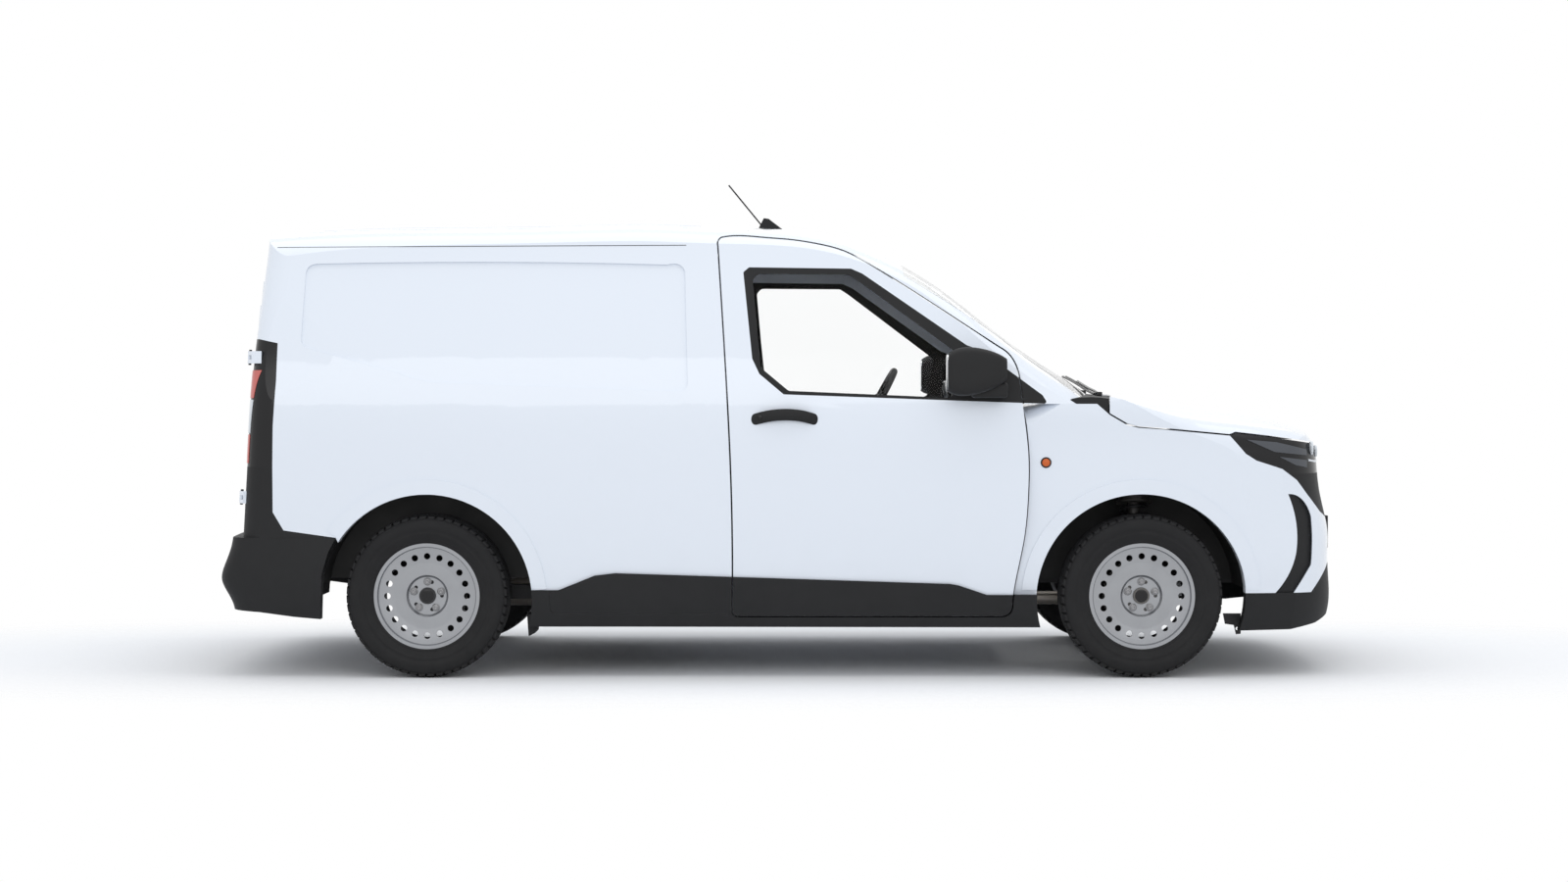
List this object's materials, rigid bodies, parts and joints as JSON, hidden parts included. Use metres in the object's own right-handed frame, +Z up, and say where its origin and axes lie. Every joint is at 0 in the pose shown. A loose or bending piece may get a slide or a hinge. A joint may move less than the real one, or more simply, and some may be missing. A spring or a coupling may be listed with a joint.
{
  "type": "panel van",
  "caption": "Small panel van with hollow cab and load space, hinged front and rear doors, bonnet, steered front wheels and beam rear axle.",
  "frame": {"origin": "on the ground under the middle of the van's length and width", "axes": "+X towards the nose, +Y towards the left side, +Z up"},
  "size_m": [4.3374, 2.0322, 1.9197],
  "materials": {
    "body_paint": "gloss",
    "dark_trim": "satin",
    "window_glass": "tinted",
    "lamp_clear": "clear cover",
    "lamp_smoked": "smoked cover with red bands",
    "wheel_silver": "satin",
    "tyre_rubber": "matte",
    "chassis_black": "satin",
    "cast_parts": "rough",
    "engine_alloy": "cast",
    "radiator_alloy": "finned",
    "floor_paint": "satin",
    "cab_plastic": "grained",
    "seat_cloth": "woven",
    "wheel_grip": "soft grained",
    "tank_plastic": "matte",
    "exhaust_steel": "dull",
    "bulkhead_panel": "satin"
  },
  "bodies": {
    "van_body": {"body_side_right": "body_paint", "body_side_left": "body_paint", "roof_panel": "body_paint", "windscreen": "window_glass", "pillar_trims": "dark_trim", "floor_pan": "floor_paint", "bulkhead": "bulkhead_panel", "cowl_panel": "dark_trim", "fender_right": "body_paint", "fender_left": "body_paint", "front_bumper": "body_paint", "front_bumper_lower": "dark_trim", "grille": "dark_trim", "headlamps": "lamp_clear", "front_plate": "dark_trim", "rear_bumper": "dark_trim", "tail_lamps": "lamp_smoked", "sill_trims": "dark_trim", "arch_liners": "dark_trim", "dashboard": "cab_plastic", "seats": "seat_cloth", "antenna": "dark_trim", "rear_axle_beam": "chassis_black", "front_subframe": "chassis_black", "engine_block": "engine_alloy", "radiator": "radiator_alloy", "fuel_tank": "tank_plastic", "exhaust": "exhaust_steel", "rear_hinge_brackets": "body_paint"},
    "door_right": {"door_panel_right": "body_paint", "door_trim_right": "dark_trim", "door_glass_right": "window_glass"},
    "door_left": {"door_panel_left": "body_paint", "door_trim_left": "dark_trim", "door_glass_left": "window_glass"},
    "rear_door_right": {"rear_door_panel_right": "body_paint"},
    "rear_door_left": {"rear_door_panel_left": "body_paint"},
    "bonnet_lid": {"bonnet": "body_paint"},
    "steering": {"steering_wheel": "wheel_grip"},
    "steer_knuckle_right": {"knuckle_right": "cast_parts"},
    "steer_knuckle_left": {"knuckle_left": "cast_parts"},
    "road_wheel_front_right": {"wheel_front_right": "wheel_silver", "tyre_front_right": "tyre_rubber"},
    "road_wheel_front_left": {"wheel_front_left": "wheel_silver", "tyre_front_left": "tyre_rubber"},
    "road_wheel_rear_right": {"wheel_rear_right": "wheel_silver", "tyre_rear_right": "tyre_rubber"},
    "road_wheel_rear_left": {"wheel_rear_left": "wheel_silver", "tyre_rear_left": "tyre_rubber"}
  },
  "joints": [
    {"name": "door_right_hinge", "type": "hinge", "parent": "van_body", "child": "door_right", "pos_m": [0.92416, -0.88699, 0.65], "axis": [0, 0, 1], "range_deg": [0, 68]},
    {"name": "door_left_hinge", "type": "hinge", "parent": "van_body", "child": "door_left", "pos_m": [0.92416, 0.88699, 0.65], "axis": [0, 0, -1], "range_deg": [0, 68]},
    {"name": "rear_door_right_hinge", "type": "hinge", "parent": "van_body", "child": "rear_door_right", "pos_m": [-2.05063, -0.787, 0.679], "axis": [0.0636, 0, 0.998], "range_deg": [0, 158]},
    {"name": "rear_door_left_hinge", "type": "hinge", "parent": "van_body", "child": "rear_door_left", "pos_m": [-2.05063, 0.787, 0.679], "axis": [-0.0636, 0, -0.998], "range_deg": [0, 158]},
    {"name": "bonnet_hinge", "type": "hinge", "parent": "van_body", "child": "bonnet_lid", "pos_m": [1.177, 0, 1.035], "axis": [0, -1, 0], "range_deg": [0, 50]},
    {"name": "steer_left", "type": "hinge", "parent": "van_body", "child": "steer_knuckle_left", "pos_m": [1.3495, 0.695, 0.2155], "axis": [0, -0.2147, 0.9767], "range_deg": [-35, 35]},
    {"name": "steer_right", "type": "hinge", "parent": "van_body", "child": "steer_knuckle_right", "pos_m": [1.3495, -0.695, 0.2155], "axis": [0, 0.2147, 0.9767], "range_deg": [-35, 35]},
    {"name": "steering_column", "type": "hinge", "parent": "van_body", "child": "steering", "pos_m": [0.38, 0.37, 1.001], "axis": [-0.8829, 0, 0.4695], "range_deg": [-525, 525]},
    {"name": "spin_front_right", "type": "hinge", "parent": "steer_knuckle_right", "child": "road_wheel_front_right", "pos_m": [1.3495, -0.775, 0.3075], "axis": [0, 1, 0], "continuous": true},
    {"name": "spin_front_left", "type": "hinge", "parent": "steer_knuckle_left", "child": "road_wheel_front_left", "pos_m": [1.3495, 0.775, 0.3075], "axis": [0, 1, 0], "continuous": true},
    {"name": "spin_rear_right", "type": "hinge", "parent": "van_body", "child": "road_wheel_rear_right", "pos_m": [-1.3425, -0.775, 0.3075], "axis": [0, 1, 0], "continuous": true},
    {"name": "spin_rear_left", "type": "hinge", "parent": "van_body", "child": "road_wheel_rear_left", "pos_m": [-1.3425, 0.775, 0.3075], "axis": [0, 1, 0], "continuous": true}
  ],
  "couplings": [
    {"joint": "steer_right", "follows": "steer_left", "ratio": 1},
    {"joint": "steering_column", "follows": "steer_left", "ratio": 15}
  ]
}
